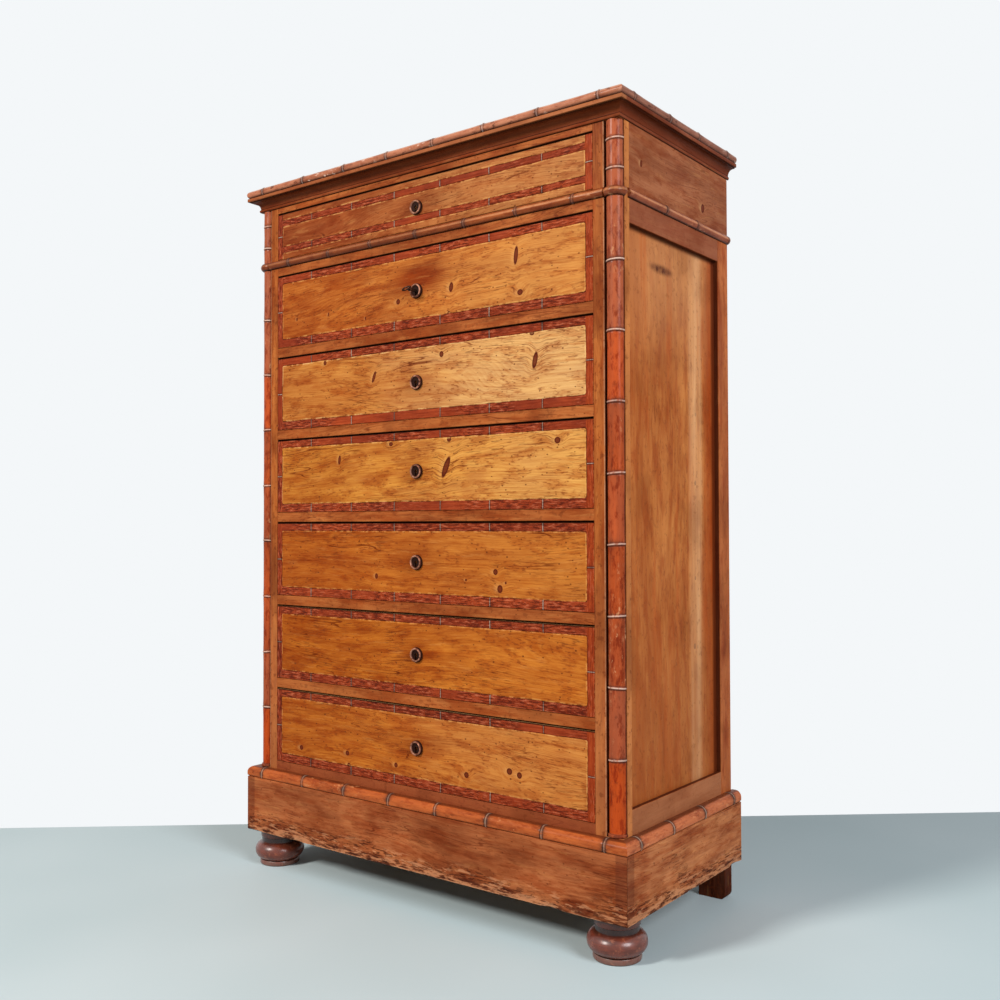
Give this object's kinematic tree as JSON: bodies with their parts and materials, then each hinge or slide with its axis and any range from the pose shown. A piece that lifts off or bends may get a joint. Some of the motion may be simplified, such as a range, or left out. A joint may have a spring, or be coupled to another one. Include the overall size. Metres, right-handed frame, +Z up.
{
  "type": "semainier",
  "caption": "Tall narrow chest of drawers in pine with bamboo-style mouldings, turned corner columns, bun feet, locks and a key.",
  "frame": {"origin": "on the floor, at the middle of the whole box", "axes": "+X to the right seen from the front, +Y to the back, +Z up"},
  "size_m": [0.956, 0.4564, 1.4663],
  "materials": {
    "pine": "old wax polish",
    "drawer_pine": "old wax polish",
    "side_pine": "old wax polish",
    "bamboo_turning": "worn red-brown stain under polish",
    "foot_wood": "dark glossy stain",
    "secondary_wood": "bare, aged",
    "escutcheon_metal": "dark patina, worn bright on the rim",
    "lock_steel": "aged steel",
    "key_iron": "dark, handled"
  },
  "bodies": {
    "carcass": {"side_panels": "side_pine", "corner_posts": "pine", "side_frame_right": "side_pine", "side_frame_left": "side_pine", "front_rails": "pine", "drawer_runners": "secondary_wood", "back_panel": "secondary_wood", "corner_column_right": "bamboo_turning", "corner_column_left": "bamboo_turning", "cornice": "pine", "top_edging": "bamboo_turning", "top_board": "side_pine", "plinth_roll": "bamboo_turning", "waist_moulding": "bamboo_turning", "plinth_frame": "pine", "bun_feet": "foot_wood", "rear_feet": "foot_wood"},
    "drawer_1": {"drawer_1_front": "drawer_pine", "drawer_1_box": "secondary_wood", "drawer_1_bottom": "secondary_wood", "drawer_1_escutcheon": "escutcheon_metal", "drawer_1_lock": "lock_steel"},
    "drawer_2": {"drawer_2_front": "drawer_pine", "drawer_2_box": "secondary_wood", "drawer_2_bottom": "secondary_wood", "drawer_2_escutcheon": "escutcheon_metal", "drawer_2_lock": "lock_steel"},
    "drawer_3": {"drawer_3_front": "drawer_pine", "drawer_3_box": "secondary_wood", "drawer_3_bottom": "secondary_wood", "drawer_3_escutcheon": "escutcheon_metal", "drawer_3_lock": "lock_steel"},
    "drawer_4": {"drawer_4_front": "drawer_pine", "drawer_4_box": "secondary_wood", "drawer_4_bottom": "secondary_wood", "drawer_4_escutcheon": "escutcheon_metal", "drawer_4_lock": "lock_steel"},
    "drawer_5": {"drawer_5_front": "drawer_pine", "drawer_5_box": "secondary_wood", "drawer_5_bottom": "secondary_wood", "drawer_5_escutcheon": "escutcheon_metal", "drawer_5_lock": "lock_steel"},
    "drawer_6": {"drawer_6_front": "drawer_pine", "drawer_6_box": "secondary_wood", "drawer_6_bottom": "secondary_wood", "drawer_6_escutcheon": "escutcheon_metal", "drawer_6_lock": "lock_steel"},
    "drawer_7": {"drawer_7_front": "drawer_pine", "drawer_7_box": "secondary_wood", "drawer_7_bottom": "secondary_wood", "drawer_7_escutcheon": "escutcheon_metal", "drawer_7_lock": "lock_steel"},
    "bolt_1": {"drawer_1_bolt": "lock_steel"},
    "bolt_2": {"drawer_2_bolt": "lock_steel"},
    "bolt_3": {"drawer_3_bolt": "lock_steel"},
    "bolt_4": {"drawer_4_bolt": "lock_steel"},
    "bolt_5": {"drawer_5_bolt": "lock_steel"},
    "bolt_6": {"drawer_6_bolt": "lock_steel"},
    "bolt_7": {"drawer_7_bolt": "lock_steel"},
    "key": {"key": "key_iron"}
  },
  "joints": [
    {"name": "drawer_1_slide", "type": "slide", "parent": "carcass", "child": "drawer_1", "axis": [0, -1, 0], "range_m": [0, 0.32]},
    {"name": "drawer_2_slide", "type": "slide", "parent": "carcass", "child": "drawer_2", "axis": [0, -1, 0], "range_m": [0, 0.32]},
    {"name": "drawer_3_slide", "type": "slide", "parent": "carcass", "child": "drawer_3", "axis": [0, -1, 0], "range_m": [0, 0.32]},
    {"name": "drawer_4_slide", "type": "slide", "parent": "carcass", "child": "drawer_4", "axis": [0, -1, 0], "range_m": [0, 0.32]},
    {"name": "drawer_5_slide", "type": "slide", "parent": "carcass", "child": "drawer_5", "axis": [0, -1, 0], "range_m": [0, 0.32]},
    {"name": "drawer_6_slide", "type": "slide", "parent": "carcass", "child": "drawer_6", "axis": [0, -1, 0], "range_m": [0, 0.32]},
    {"name": "drawer_7_slide", "type": "slide", "parent": "carcass", "child": "drawer_7", "axis": [0, -1, 0], "range_m": [0, 0.32]},
    {"name": "bolt_1_throw", "type": "slide", "parent": "drawer_1", "child": "bolt_1", "axis": [0, 0, 1], "range_m": [0, 0.008]},
    {"name": "bolt_2_throw", "type": "slide", "parent": "drawer_2", "child": "bolt_2", "axis": [0, 0, 1], "range_m": [0, 0.008]},
    {"name": "bolt_3_throw", "type": "slide", "parent": "drawer_3", "child": "bolt_3", "axis": [0, 0, 1], "range_m": [0, 0.008]},
    {"name": "bolt_4_throw", "type": "slide", "parent": "drawer_4", "child": "bolt_4", "axis": [0, 0, 1], "range_m": [0, 0.008]},
    {"name": "bolt_5_throw", "type": "slide", "parent": "drawer_5", "child": "bolt_5", "axis": [0, 0, 1], "range_m": [0, 0.008]},
    {"name": "bolt_6_throw", "type": "slide", "parent": "drawer_6", "child": "bolt_6", "axis": [0, 0, 1], "range_m": [0, 0.008]},
    {"name": "bolt_7_throw", "type": "slide", "parent": "drawer_7", "child": "bolt_7", "axis": [0, 0, 1], "range_m": [0, 0.008]},
    {"name": "key_turn", "type": "hinge", "parent": "drawer_2", "child": "key", "pos_m": [0, -0.19, 1.1852], "axis": [0, 1, 0], "range_deg": [0, 180]}
  ],
  "couplings": [
    {"joint": "key_turn", "follows": "bolt_2_throw", "rad_per_m": 392.69}
  ]
}
